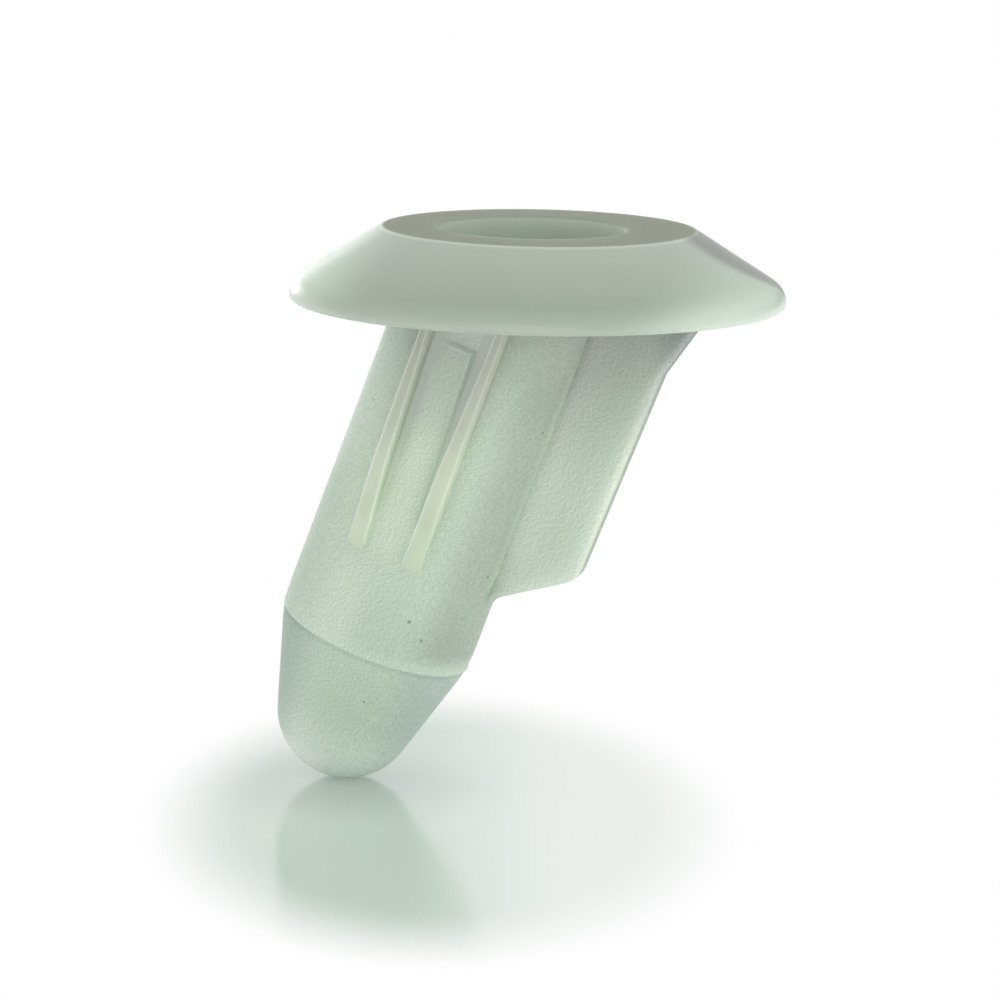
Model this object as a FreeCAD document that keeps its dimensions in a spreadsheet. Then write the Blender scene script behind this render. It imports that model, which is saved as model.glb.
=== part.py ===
import FreeCAD, Part
import math
import os
import Sketcher
from FreeCAD import Placement, Rotation, Vector

# Tail light grommet: one moulded piece with a round head, a leaning hollow shank,
# a fin on the side that the shank leans away from, and, on the front and the back,
# a wedge-shaped catch between two channels with a raised rib outside each channel.
# The head's seat lies in the XY plane and its axis is Z. The shank's axis lies in
# the XZ plane, leans from Z and crosses it above the seat.

doc = FreeCAD.newDocument("TailLightGrommet")

# Driving sizes in millimetres and degrees
SIZES = [
    ("rim_radius", 10.0, "outside of the head"),
    ("rim_edge_round", 0.2, "lower edge of the rim"),
    ("rim_round", 0.9, "rim's curve up into the cone"),
    ("head_height", 3.0, "seat to top face"),
    ("top_radius", 6.35, "top face"),
    ("top_edge_round", 0.15, "edge of the top face"),
    ("lean", 20.0, "shank's axis from the head's axis"),
    ("cross_height", 4.0, "where the two axes cross, above the seat"),
    ("tube_radius", 4.05, "outside of the shank"),
    ("wall", 1.15, "shank's wall"),
    ("shoulder_distance", 14.25, "seat to where the shank starts to taper, along its axis"),
    ("shoulder_round", 5.0, "shank into the taper"),
    ("shank_length", 21.4, "seat to the tip, along the axis"),
    ("nose_radius", 2.9, "ball end of the nose"),
    ("mouth_radius", 3.82, "mouth at the top face"),
    ("mouth_round", 0.2, "lip of the mouth"),
    ("mouth_depth", 1.3, "depth of the mouth's funnel"),
    ("throat_radius", 3.1, "foot of the funnel"),
    ("mouth_shift", 0.25, "mouth's centre from the head's axis, towards the nose"),
    ("fin_thickness", 1.2, "fin"),
    ("fin_reach", 7.3, "shank's axis to the fin's outer edge, at the flare"),
    ("fin_tip_reach", 7.1, "shank's axis to the fin's outer edge, at the tip"),
    ("fin_tip_round", 1.0, "outer corner of the fin"),
    ("fin_tip_distance", 8.87, "seat to the centre of that corner, along the axis"),
    ("fin_root_round", 1.2, "fin's lower edge into the shank"),
    ("fin_root_distance", 12.23, "seat to the centre of that curve, along the axis"),
    ("fin_edge_round", 0.15, "long edges of the fin"),
    ("flare_start", 0.2, "seat to the foot of the flare, along the axis"),
    ("flare_reach", 7.2, "head's axis to the flare's top, at the seat"),
    ("catch_foot_width", 1.66, "catch at its foot"),
    ("catch_end_width", 1.22, "catch at its upper end"),
    ("catch_height", 0.75, "catch above the shank at its upper end"),
    ("catch_gap", 1.5, "seat to the catch's upper end, along the axis"),
    ("channel_distance", 10.6, "seat to the channels' feet, along the axis"),
    ("channel_foot_width", 0.06, "each channel at its foot"),
    ("channel_end_width", 0.7, "each channel beside the catch's upper end"),
    ("channel_depth", 0.35, "channels into the shank"),
    ("rib_distance", 10.85, "seat to the ribs' feet, along the axis"),
    ("rib_reach", 1.63, "shank's middle to a rib's outer side"),
    ("rib_foot_height", 0.05, "rib above the shank at its foot"),
    ("rib_knee_distance", 7.0, "seat to the end of the rib's steeper ramp, along the axis"),
    ("rib_knee_height", 0.9, "rib above the shank there"),
    ("rib_head_height", 1.25, "rib above the shank, in the head"),
    ("ring_distance", 15.0, "seat to the raised parting line, along the axis"),
    ("ring_rise", 0.3, "upper slope of the parting line, along the axis"),
    ("ring_fall", 0.12, "lower slope of the parting line, along the axis"),
    ("ring_height", 0.05, "parting line above the shank"),
]

sheet = doc.addObject("Spreadsheet::Sheet", "Sizes")
for row, (alias, value, note) in enumerate(SIZES, start=1):
    sheet.set("A%d" % row, alias)
    sheet.set("B%d" % row, str(value))
    sheet.setAlias("B%d" % row, alias)
    sheet.set("C%d" % row, note)
doc.recompute()

body = doc.addObject("PartDesign::Body", "Grommet")
body.Label = "grommet"
body.Placement = Placement(Vector(0, 0, 0), Rotation())

# Frequent formulas: where the shank's axis meets the seat, and the height to which
# the shank, the fin and the ribs reach up into the head
AXIS_OFFSET = "(Sizes.cross_height * tan(Sizes.lean))"
SUNK = "(Sizes.head_height / 3)"

lean = math.radians(sheet.lean)
axis_offset = sheet.cross_height * math.tan(lean)
sunk = sheet.head_height / 3

# A sketch's own origin and vertical axis, and the ends and centre of its edges
ORIGIN = (-1, 1)
V_AXIS = -2
START, END, CENTRE = range(1, 4)

# How near a point counts as on a face
TOUCH = 1e-4


def origin_plane(role):
    """The body's own plane of that role."""
    return next(plane for plane in body.Origin.OriginFeatures if plane.Role == role)


def new_sketch(name, role):
    """An empty sketch on one of the body's planes."""
    sketch = body.newObject("Sketcher::SketchObject", name)
    sketch.AttachmentSupport = [(origin_plane(role), "")]
    sketch.MapMode = "FlatFace"
    return sketch


def side_sketch(name):
    """A sketch in the XZ plane whose vertical axis is the shank's axis, with its origin at the seat."""
    sketch = new_sketch(name, "XZ_Plane")
    sketch.AttachmentOffset = Placement(Vector(0, 0, 0), Rotation(Vector(0, 0, -1), sheet.lean))
    sketch.setExpression("AttachmentOffset.Base.x", "-" + AXIS_OFFSET)
    sketch.setExpression("AttachmentOffset.Rotation.Angle", "Sizes.lean")
    return sketch


def cross_sketch(name, rise):
    """A sketch square to the shank's axis, at a height above the seat that a formula gives."""
    sketch = new_sketch(name, "XY_Plane")
    sketch.AttachmentOffset = Placement(Vector(0, 0, 0), Rotation(Vector(0, 1, 0), sheet.lean))
    sketch.setExpression("AttachmentOffset.Base.x", "-%s + (%s) * sin(Sizes.lean)" % (AXIS_OFFSET, rise))
    sketch.setExpression("AttachmentOffset.Base.z", "(%s) * cos(Sizes.lean)" % rise)
    sketch.setExpression("AttachmentOffset.Rotation.Angle", "Sizes.lean")
    return sketch


def line(sketch, x0, y0, x1, y1):
    """A straight edge, drawn near its place."""
    return sketch.addGeometry(Part.LineSegment(Vector(x0, y0, 0), Vector(x1, y1, 0)), False)


def arc(sketch, x, y, radius, first, last):
    """A round edge, drawn near its place, anticlockwise between two angles in degrees."""
    circle = Part.Circle(Vector(x, y, 0), Vector(0, 0, 1), radius)
    return sketch.addGeometry(Part.ArcOfCircle(circle, math.radians(first), math.radians(last)), False)


def tie(sketch, kind, *parts):
    """A constraint without a size."""
    sketch.addConstraint(Sketcher.Constraint(kind, *parts))


def chain(sketch, *joints):
    """Joins edges end to end; a joint is (edge, end, edge, end), smooth where a fifth item says so."""
    for joint in joints:
        kind = "Tangent" if len(joint) == 5 else "Coincident"
        tie(sketch, kind, *joint[:4])


def across(sketch, edge, end, formula, side=1):
    """Sets a point's distance from the vertical axis, to the right, or to the left for side -1."""
    place = (edge, end) if side > 0 else ORIGIN
    base = ORIGIN if side > 0 else (edge, end)
    value = abs(sketch.getPoint(edge, end).x)
    index = sketch.addConstraint(Sketcher.Constraint("DistanceX", *base, *place, value))
    sketch.setExpression("Constraints[%d]" % index, formula)


def above(sketch, edge, end, formula):
    """Sets a point's height over the horizontal axis."""
    value = sketch.getPoint(edge, end).y
    index = sketch.addConstraint(Sketcher.Constraint("DistanceY", *ORIGIN, edge, end, value))
    sketch.setExpression("Constraints[%d]" % index, formula)


def below(sketch, edge, end, formula):
    """Sets a point's depth under the horizontal axis."""
    value = -sketch.getPoint(edge, end).y
    index = sketch.addConstraint(Sketcher.Constraint("DistanceY", edge, end, *ORIGIN, value))
    sketch.setExpression("Constraints[%d]" % index, formula)


def radius_of(sketch, edge, formula):
    """Sets an arc's radius."""
    index = sketch.addConstraint(Sketcher.Constraint("Radius", edge, sketch.Geometry[edge].Radius))
    sketch.setExpression("Constraints[%d]" % index, formula)


def feature(kind, name, profile, **settings):
    """A feature on a profile, with its settings, at the body's tip."""
    made = body.newObject("PartDesign::" + kind, name)
    made.Profile = profile
    for key, value in settings.items():
        setattr(made, key, value)
    profile.Visibility = False
    doc.recompute()
    return made


def turned(kind, name, sketch):
    """A full turn of a sketch about its own vertical axis."""
    return feature(kind, name, sketch, ReferenceAxis=(sketch, ["V_Axis"]), Angle=360)


def rounded(name, edges, formula):
    """A fillet on the named edges of the body's tip."""
    made = body.newObject("PartDesign::Fillet", name)
    made.Base = (made.BaseFeature, edges)
    made.setExpression("Radius", formula)
    doc.recompute()
    return made


def edges_where(test):
    """Names of the tip's edges whose sample points all pass a test."""
    names = []
    for number, edge in enumerate(body.Tip.Shape.Edges, start=1):
        if not edge.Degenerated and all(test(point) for point in edge.discretize(5)):
            names.append("Edge%d" % number)
    return names


def shank_frame(point):
    """A point's distance from the shank's axis towards the fin, and its height along the axis."""
    across_x = point.x + axis_offset
    return (across_x * math.cos(lean) - point.z * math.sin(lean),
            across_x * math.sin(lean) + point.z * math.cos(lean))


# Shank: a tube's outside, a soft shoulder, a tapered nose and a ball end
sketch = side_sketch("ShankOutline")
taper = math.degrees(math.atan2(sheet.tube_radius - sheet.nose_radius, sheet.shank_length
                                - sheet.shoulder_distance - sheet.nose_radius))
shank_top = sheet.head_height + sheet.tube_radius
centre_depth = sheet.shank_length - sheet.nose_radius
end = line(sketch, 0, shank_top, sheet.tube_radius, shank_top)
side = line(sketch, sheet.tube_radius, shank_top, sheet.tube_radius, -sheet.shoulder_distance)
shoulder = arc(sketch, sheet.tube_radius - sheet.shoulder_round, -sheet.shoulder_distance,
               sheet.shoulder_round, -taper, 0)
cone = line(sketch, sheet.tube_radius - 0.2, -sheet.shoulder_distance - 1.5,
            sheet.nose_radius * math.cos(math.radians(taper)),
            -centre_depth - sheet.nose_radius * math.sin(math.radians(taper)))
nose = arc(sketch, 0, -centre_depth, sheet.nose_radius, -90, -taper)
middle = line(sketch, 0, -sheet.shank_length, 0, shank_top)
chain(sketch, (end, END, side, START), (side, END, shoulder, END, "smooth"),
      (shoulder, START, cone, START, "smooth"), (cone, END, nose, END, "smooth"),
      (nose, START, middle, START), (middle, END, end, START))
tie(sketch, "Horizontal", end)
tie(sketch, "Vertical", side)
tie(sketch, "PointOnObject", middle, START, V_AXIS)
tie(sketch, "PointOnObject", middle, END, V_AXIS)
tie(sketch, "PointOnObject", nose, CENTRE, V_AXIS)
across(sketch, side, START, "Sizes.tube_radius")
above(sketch, side, START, "Sizes.head_height + Sizes.tube_radius")
below(sketch, side, END, "Sizes.shoulder_distance")
below(sketch, middle, START, "Sizes.shank_length")
radius_of(sketch, shoulder, "Sizes.shoulder_round")
radius_of(sketch, nose, "Sizes.nose_radius")
turned("Revolution", "Shank", sketch)

# The shank's top is cut level, inside the head
sketch = new_sketch("LevelCut", "XY_Plane")
sketch.setExpression("AttachmentOffset.Base.z", SUNK)
circle = sketch.addGeometry(Part.Circle(Vector(0, 0, 0), Vector(0, 0, 1), sheet.rim_radius), False)
tie(sketch, "Coincident", circle, CENTRE, *ORIGIN)
radius_of(sketch, circle, "Sizes.rim_radius")
feature("Pocket", "ShankTop", sketch, Type="ThroughAll", Reversed=True)

# Head: a flat seat, a rounded rim, a cone and a level top face
sketch = new_sketch("HeadOutline", "XZ_Plane")
slope = math.degrees(math.atan2(sheet.head_height - sheet.rim_edge_round,
                                sheet.rim_radius - sheet.top_radius))
rim_flat = sheet.rim_radius - sheet.rim_edge_round
seat = line(sketch, 0, 0, rim_flat, 0)
lower = arc(sketch, rim_flat, sheet.rim_edge_round, sheet.rim_edge_round, -90, 0)
rim = arc(sketch, sheet.rim_radius - sheet.rim_round, sheet.rim_edge_round, sheet.rim_round, 0, 90 - slope)
flank = line(sketch, sheet.rim_radius - 0.5, 0.9, sheet.top_radius, sheet.head_height)
top = line(sketch, sheet.top_radius, sheet.head_height, 0, sheet.head_height)
middle = line(sketch, 0, sheet.head_height, 0, 0)
chain(sketch, (seat, END, lower, START, "smooth"), (lower, END, rim, START, "smooth"),
      (rim, END, flank, START, "smooth"), (flank, END, top, START), (top, END, middle, START),
      (middle, END, seat, START))
tie(sketch, "Coincident", seat, START, *ORIGIN)
tie(sketch, "Horizontal", seat)
tie(sketch, "Horizontal", top)
tie(sketch, "Vertical", middle)
tie(sketch, "Horizontal", lower, CENTRE, lower, END)
across(sketch, lower, END, "Sizes.rim_radius")
across(sketch, flank, END, "Sizes.top_radius")
above(sketch, flank, END, "Sizes.head_height")
radius_of(sketch, lower, "Sizes.rim_edge_round")
radius_of(sketch, rim, "Sizes.rim_round")
turned("Revolution", "Head", sketch)

# Fin: a flare under the seat, an outer edge along the shank and a rising lower edge
sketch = side_sketch("FinOutline")
seat_u = (sheet.flare_reach + axis_offset) * math.cos(lean)
seat_v = (sheet.flare_reach + axis_offset) * math.sin(lean)
inner = sheet.tube_radius / 2
inner_v = (sunk + inner * math.sin(lean)) / math.cos(lean)
tip_u = sheet.fin_tip_reach - sheet.fin_tip_round
root_u = sheet.fin_root_round + math.sqrt(sheet.tube_radius ** 2 - sheet.fin_thickness ** 2 / 4)
buried = line(sketch, inner, inner_v, seat_u - sunk * math.sin(lean), seat_v + sunk * math.cos(lean))
rise = line(sketch, seat_u - sunk * math.sin(lean), seat_v + sunk * math.cos(lean), seat_u, seat_v)
flare = line(sketch, seat_u, seat_v, sheet.fin_reach, -sheet.flare_start)
outer = line(sketch, sheet.fin_reach, -sheet.flare_start, sheet.fin_tip_reach, -sheet.fin_tip_distance)
tip = arc(sketch, tip_u, -sheet.fin_tip_distance, sheet.fin_tip_round, -54, 1)
lower = line(sketch, tip_u + 0.6, -sheet.fin_tip_distance - 0.8, root_u - 0.7, -sheet.fin_root_distance + 1)
root = arc(sketch, root_u, -sheet.fin_root_distance, sheet.fin_root_round, 126, 180)
foot = line(sketch, root_u - sheet.fin_root_round, -sheet.fin_root_distance,
            inner, -sheet.fin_root_distance)
spine = line(sketch, inner, -sheet.fin_root_distance, inner, inner_v)
chain(sketch, (buried, END, rise, START), (rise, END, flare, START), (flare, END, outer, START),
      (outer, END, tip, END, "smooth"), (tip, START, lower, START, "smooth"),
      (lower, END, root, START, "smooth"), (root, END, foot, START), (foot, END, spine, START),
      (spine, END, buried, START))
tie(sketch, "Horizontal", foot)
tie(sketch, "Vertical", spine)
tie(sketch, "Horizontal", root, CENTRE, root, END)
across(sketch, spine, END, "Sizes.tube_radius / 2")
above(sketch, spine, END, "(%s + Sizes.tube_radius / 2 * sin(Sizes.lean)) / cos(Sizes.lean)" % SUNK)
across(sketch, rise, END, "(Sizes.flare_reach + %s) * cos(Sizes.lean)" % AXIS_OFFSET)
above(sketch, rise, END, "(Sizes.flare_reach + %s) * sin(Sizes.lean)" % AXIS_OFFSET)
across(sketch, rise, START,
       "(Sizes.flare_reach + %s) * cos(Sizes.lean) - %s * sin(Sizes.lean)" % (AXIS_OFFSET, SUNK))
above(sketch, rise, START,
      "(Sizes.flare_reach + %s) * sin(Sizes.lean) + %s * cos(Sizes.lean)" % (AXIS_OFFSET, SUNK))
across(sketch, flare, END, "Sizes.fin_reach")
below(sketch, flare, END, "Sizes.flare_start")
across(sketch, tip, CENTRE, "Sizes.fin_tip_reach - Sizes.fin_tip_round")
below(sketch, tip, CENTRE, "Sizes.fin_tip_distance")
radius_of(sketch, tip, "Sizes.fin_tip_round")
across(sketch, root, CENTRE,
       "Sizes.fin_root_round + sqrt(Sizes.tube_radius ^ 2 - Sizes.fin_thickness ^ 2 / 4)")
below(sketch, root, CENTRE, "Sizes.fin_root_distance")
radius_of(sketch, root, "Sizes.fin_root_round")
fin = feature("Pad", "Fin", sketch, Midplane=True)
fin.setExpression("Length", "Sizes.fin_thickness")
doc.recompute()


def on_fin_outline(point):
    u, v = shank_frame(point)
    on_face = abs(abs(point.y) - sheet.fin_thickness / 2) < TOUCH
    return on_face and u > sheet.tube_radius and point.z < TOUCH


outline = [name for name in edges_where(on_fin_outline)
           if body.Tip.Shape.getElement(name).BoundBox.ZLength > 10 * TOUCH]
rounded("FinEdges", outline, "Sizes.fin_edge_round")

# Ribs and catches: each is a loft between sections square to the shank's axis, whose
# crests follow the shank's round; the channels then trim their inner sides
END_HALF = "Sizes.catch_end_width / 2"
FOOT_HALF = "Sizes.catch_foot_width / 2"
EIGHTH_RUN = "(Sizes.channel_distance - Sizes.catch_gap) / 8"
HEAD_NEAR = "%s + Sizes.channel_end_width / 2" % END_HALF
FOOT_NEAR = "%s + Sizes.channel_foot_width / 2" % FOOT_HALF
RIB_SECTIONS = [
    ("-Sizes.rib_distance", FOOT_NEAR, "Sizes.rib_reach", "Sizes.tube_radius + Sizes.rib_foot_height"),
    ("-Sizes.rib_knee_distance", FOOT_NEAR, "Sizes.rib_reach", "Sizes.tube_radius + Sizes.rib_knee_height"),
    ("Sizes.rib_reach * tan(Sizes.lean) + " + SUNK, HEAD_NEAR, "Sizes.rib_reach",
     "Sizes.tube_radius + Sizes.rib_head_height"),
]
CATCH_SECTIONS = [
    ("-Sizes.channel_distance - " + EIGHTH_RUN, FOOT_NEAR, "Sizes.tube_radius - Sizes.catch_height / 8"),
    ("-Sizes.catch_gap + " + EIGHTH_RUN, HEAD_NEAR, "Sizes.tube_radius + Sizes.catch_height * 9 / 8"),
]


def crested_section(name, rise, crest, left, right):
    """An outline square to the shank's axis: an arc about it, two sides and a base inside the shank.

    left and right are (distance from the vertical axis, formula, side).
    """
    sketch = cross_sketch(name, rise)
    radius = sheet.tube_radius
    base_y = -radius / 2
    first = math.degrees(-math.acos(left[0] * left[2] / radius))
    last = math.degrees(-math.acos(right[0] * right[2] / radius))
    crest_edge = arc(sketch, 0, 0, radius, first, last)
    points = [sketch.getPoint(crest_edge, START), sketch.getPoint(crest_edge, END)]
    near = line(sketch, points[0].x, base_y, points[0].x, points[0].y)
    far = line(sketch, points[1].x, points[1].y, points[1].x, base_y)
    base = line(sketch, points[1].x, base_y, points[0].x, base_y)
    chain(sketch, (near, END, crest_edge, START), (crest_edge, END, far, START),
          (far, END, base, START), (base, END, near, START))
    tie(sketch, "Coincident", crest_edge, CENTRE, *ORIGIN)
    tie(sketch, "Vertical", near)
    tie(sketch, "Vertical", far)
    tie(sketch, "Horizontal", base)
    across(sketch, crest_edge, START, left[1], left[2])
    across(sketch, crest_edge, END, right[1], right[2])
    below(sketch, base, START, "Sizes.tube_radius / 2")
    radius_of(sketch, crest_edge, crest)
    return sketch


def loft(name, sections):
    """A solid with straight sides between its sections."""
    return feature("AdditiveLoft", name, sections[0], Sections=sections[1:], Ruled=True)


near_half = sheet.catch_foot_width / 2
far_half = sheet.rib_reach
front = []
for label, side in (("FinSide", 1), ("NoseSide", -1)):
    sections = []
    for number, (rise, near, far, crest) in enumerate(RIB_SECTIONS):
        inner_side, outer_side = (near_half, near, side), (far_half, far, side)
        left, right = (inner_side, outer_side) if side > 0 else (outer_side, inner_side)
        sections.append(crested_section("RibOutline%s%d" % (label, number), rise, crest, left, right))
    front.append(loft("Rib" + label, sections))

front.append(loft("Catch", [
    crested_section("CatchOutline%d" % number, rise, crest, (near_half, half, -1), (near_half, half, 1))
    for number, (rise, half, crest) in enumerate(CATCH_SECTIONS)]))

back = body.newObject("PartDesign::Mirrored", "BackRibsAndCatch")
back.Originals = front
back.MirrorPlane = (origin_plane("XZ_Plane"), [""])
body.Tip = back
doc.recompute()

# Channels: one outline, a gap over the catch's upper end with a tapered leg on each
# side of the catch, cut through the front and the back
sketch = side_sketch("ChannelOutline")
end_half = sheet.catch_end_width / 2
foot_half = sheet.catch_foot_width / 2
foot = foot_half + sheet.channel_foot_width
wide = end_half + sheet.channel_end_width
fall = wide * math.tan(lean)
over = line(sketch, -wide, -fall, wide, fall)
right_top = line(sketch, wide, fall, wide, -sheet.catch_gap)
right = line(sketch, wide, -sheet.catch_gap, foot, -sheet.channel_distance)
right_foot = line(sketch, foot, -sheet.channel_distance, foot_half, -sheet.channel_distance)
right_side = line(sketch, foot_half, -sheet.channel_distance, end_half, -sheet.catch_gap)
catch_end = line(sketch, end_half, -sheet.catch_gap, -end_half, -sheet.catch_gap)
left_side = line(sketch, -end_half, -sheet.catch_gap, -foot_half, -sheet.channel_distance)
left_foot = line(sketch, -foot_half, -sheet.channel_distance, -foot, -sheet.channel_distance)
left = line(sketch, -foot, -sheet.channel_distance, -wide, -sheet.catch_gap)
left_top = line(sketch, -wide, -sheet.catch_gap, -wide, -fall)
loop = [over, right_top, right, right_foot, right_side, catch_end, left_side, left_foot, left, left_top]
chain(sketch, *[(one, END, other, START) for one, other in zip(loop, loop[1:] + loop[:1])])
for edge in (right_foot, catch_end, left_foot):
    tie(sketch, "Horizontal", edge)
for edge in (right_top, left_top):
    tie(sketch, "Vertical", edge)
CHANNEL_END = "Sizes.catch_end_width / 2 + Sizes.channel_end_width"
across(sketch, over, END, CHANNEL_END)
across(sketch, over, START, CHANNEL_END, -1)
above(sketch, over, END, "(%s) * tan(Sizes.lean)" % CHANNEL_END)
below(sketch, over, START, "(%s) * tan(Sizes.lean)" % CHANNEL_END)
for edge, end, side in ((right, END, 1), (left, START, -1)):
    across(sketch, edge, end, "Sizes.catch_foot_width / 2 + Sizes.channel_foot_width", side)
    below(sketch, edge, end, "Sizes.channel_distance")
across(sketch, right_side, START, "Sizes.catch_foot_width / 2")
across(sketch, left_side, END, "Sizes.catch_foot_width / 2", -1)
across(sketch, right_side, END, "Sizes.catch_end_width / 2")
across(sketch, left_side, START, "Sizes.catch_end_width / 2", -1)
below(sketch, right_side, END, "Sizes.catch_gap")
below(sketch, right, START, "Sizes.catch_gap")
below(sketch, left, END, "Sizes.catch_gap")
feature("Pocket", "Channels", sketch, Type="ThroughAll", Midplane=True)

# The channels' floor: the shank's inside is filled again, up into the head
sketch = side_sketch("ChannelFloorOutline")
floor_radius = sheet.tube_radius - sheet.channel_depth
top = sheet.head_height / 2 / math.cos(lean)
upper = line(sketch, 0, top, floor_radius, top)
side = line(sketch, floor_radius, top, floor_radius, -sheet.shoulder_distance)
lower = line(sketch, floor_radius, -sheet.shoulder_distance, 0, -sheet.shoulder_distance)
middle = line(sketch, 0, -sheet.shoulder_distance, 0, top)
chain(sketch, (upper, END, side, START), (side, END, lower, START), (lower, END, middle, START),
      (middle, END, upper, START))
for edge in (upper, lower):
    tie(sketch, "Horizontal", edge)
for edge in (side, middle):
    tie(sketch, "Vertical", edge)
tie(sketch, "PointOnObject", middle, START, V_AXIS)
across(sketch, side, START, "Sizes.tube_radius - Sizes.channel_depth")
above(sketch, side, START, "Sizes.head_height / 2 / cos(Sizes.lean)")
below(sketch, side, END, "Sizes.shoulder_distance")
turned("Revolution", "ChannelFloor", sketch)

# Parting line: a fine raised ring at the shoulder, with a long slope above its crest
# and a short one below
sketch = side_sketch("RingOutline")
drop = sheet.ring_distance - sheet.shoulder_distance
shoulder_there = sheet.tube_radius - sheet.shoulder_round + math.sqrt(sheet.shoulder_round ** 2 - drop ** 2)
crest = shoulder_there + sheet.ring_height
sunk_foot = shoulder_there - 2 * sheet.ring_height
upper_foot = sheet.ring_rise - sheet.ring_distance
lower_foot = -sheet.ring_fall - sheet.ring_distance
upper = line(sketch, shoulder_there, upper_foot, crest, -sheet.ring_distance)
lower = line(sketch, crest, -sheet.ring_distance, sunk_foot, lower_foot)
inner = line(sketch, sunk_foot, lower_foot, shoulder_there, upper_foot)
chain(sketch, (upper, END, lower, START), (lower, END, inner, START), (inner, END, upper, START))
SHOULDER_THERE = ("Sizes.tube_radius - Sizes.shoulder_round + sqrt(Sizes.shoulder_round ^ 2"
                  " - (Sizes.ring_distance - Sizes.shoulder_distance) ^ 2)")
across(sketch, upper, START, SHOULDER_THERE)
across(sketch, upper, END, SHOULDER_THERE + " + Sizes.ring_height")
across(sketch, lower, END, SHOULDER_THERE + " - 2 * Sizes.ring_height")
below(sketch, upper, START, "Sizes.ring_distance - Sizes.ring_rise")
below(sketch, upper, END, "Sizes.ring_distance")
below(sketch, lower, END, "Sizes.ring_distance + Sizes.ring_fall")
turned("Revolution", "Ring", sketch)

# Mouth: a funnel in the top face
sketch = new_sketch("MouthOutline", "XZ_Plane")
sketch.setExpression("AttachmentOffset.Base.x", "-Sizes.mouth_shift")
over = sheet.head_height + sheet.mouth_depth
floor = sheet.head_height - sheet.mouth_depth
lid = line(sketch, 0, over, sheet.mouth_radius, over)
lip = line(sketch, sheet.mouth_radius, over, sheet.mouth_radius, sheet.head_height)
funnel = line(sketch, sheet.mouth_radius, sheet.head_height, sheet.throat_radius, floor)
throat = line(sketch, sheet.throat_radius, floor, 0, floor)
middle = line(sketch, 0, floor, 0, over)
chain(sketch, (lid, END, lip, START), (lip, END, funnel, START), (funnel, END, throat, START),
      (throat, END, middle, START), (middle, END, lid, START))
tie(sketch, "Horizontal", lid)
tie(sketch, "Vertical", lip)
tie(sketch, "Horizontal", throat)
tie(sketch, "PointOnObject", middle, START, V_AXIS)
tie(sketch, "PointOnObject", middle, END, V_AXIS)
across(sketch, funnel, START, "Sizes.mouth_radius")
above(sketch, funnel, START, "Sizes.head_height")
above(sketch, lip, START, "Sizes.head_height + Sizes.mouth_depth")
across(sketch, funnel, END, "Sizes.throat_radius")
above(sketch, funnel, END, "Sizes.head_height - Sizes.mouth_depth")
turned("Groove", "Mouth", sketch)

# Bore: straight along the shank, then tapered and round-ended within the nose's wall
sketch = side_sketch("BoreOutline")
bore = sheet.tube_radius - sheet.wall
end_radius = sheet.nose_radius - sheet.wall
lid = line(sketch, 0, shank_top, bore, shank_top)
side = line(sketch, bore, shank_top, bore, -sheet.shoulder_distance)
cone = line(sketch, bore, -sheet.shoulder_distance, end_radius, -centre_depth)
nose = arc(sketch, 0, -centre_depth, end_radius, -90, -taper)
middle = line(sketch, 0, -centre_depth - end_radius, 0, shank_top)
chain(sketch, (lid, END, side, START), (side, END, cone, START), (cone, END, nose, END, "smooth"),
      (nose, START, middle, START), (middle, END, lid, START))
tie(sketch, "Horizontal", lid)
tie(sketch, "Vertical", side)
tie(sketch, "PointOnObject", middle, START, V_AXIS)
tie(sketch, "PointOnObject", middle, END, V_AXIS)
tie(sketch, "PointOnObject", nose, CENTRE, V_AXIS)
across(sketch, side, START, "Sizes.tube_radius - Sizes.wall")
above(sketch, side, START, "Sizes.head_height + Sizes.tube_radius")
below(sketch, side, END, "Sizes.shoulder_distance")
below(sketch, nose, CENTRE, "Sizes.shank_length - Sizes.nose_radius")
radius_of(sketch, nose, "Sizes.nose_radius - Sizes.wall")
turned("Groove", "Bore", sketch)


# Rounds on the top face's edge and the mouth's lip
def on_top_edge(point):
    reach = math.hypot(point.x, point.y)
    return abs(point.z - sheet.head_height) < TOUCH and abs(reach - sheet.top_radius) < 10 * TOUCH


def on_lip(point):
    reach = math.hypot(point.x + sheet.mouth_shift, point.y)
    return abs(point.z - sheet.head_height) < TOUCH and abs(reach - sheet.mouth_radius) < 10 * TOUCH


rounded("TopEdge", edges_where(on_top_edge), "Sizes.top_edge_round")
rounded("Lip", edges_where(on_lip), "Sizes.mouth_round")

doc.recompute()

# Nothing is written unless every object is sound
for item in doc.Objects:
    if "Invalid" in item.State or "Error" in item.State:
        raise RuntimeError("%s could not be made: %s" % (item.Label, item.State))
for item in doc.findObjects("PartDesign::Body"):
    if item.Shape.isNull() or not item.Shape.isValid():
        raise RuntimeError("%s has no sound shape" % item.Label)
    if len(item.Shape.Solids) != 1:
        raise RuntimeError("%s is %d solids, not one" % (item.Label, len(item.Shape.Solids)))

os.makedirs("parts", exist_ok=True)
for item in doc.findObjects("PartDesign::Body"):
    item.Shape.exportStep(os.path.join("parts", item.Label + ".step"))
    box = item.Shape.BoundBox
    print("%s: volume %.2f mm3, x %.3f to %.3f, y %.3f to %.3f, z %.3f to %.3f"
          % (item.Label, item.Shape.Volume, box.XMin, box.XMax, box.YMin, box.YMax, box.ZMin, box.ZMax))
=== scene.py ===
"""Looks of the tail light grommet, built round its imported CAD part.

The grommet is one moulding of milky nylon. It stands on its nose on a glossy
pale floor, in plain level light, as a photographer would show it.
"""

import logging
import math
from collections.abc import Callable
from dataclasses import dataclass
from enum import Enum
from functools import reduce

import bpy
from mathutils import Matrix, Vector


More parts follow.
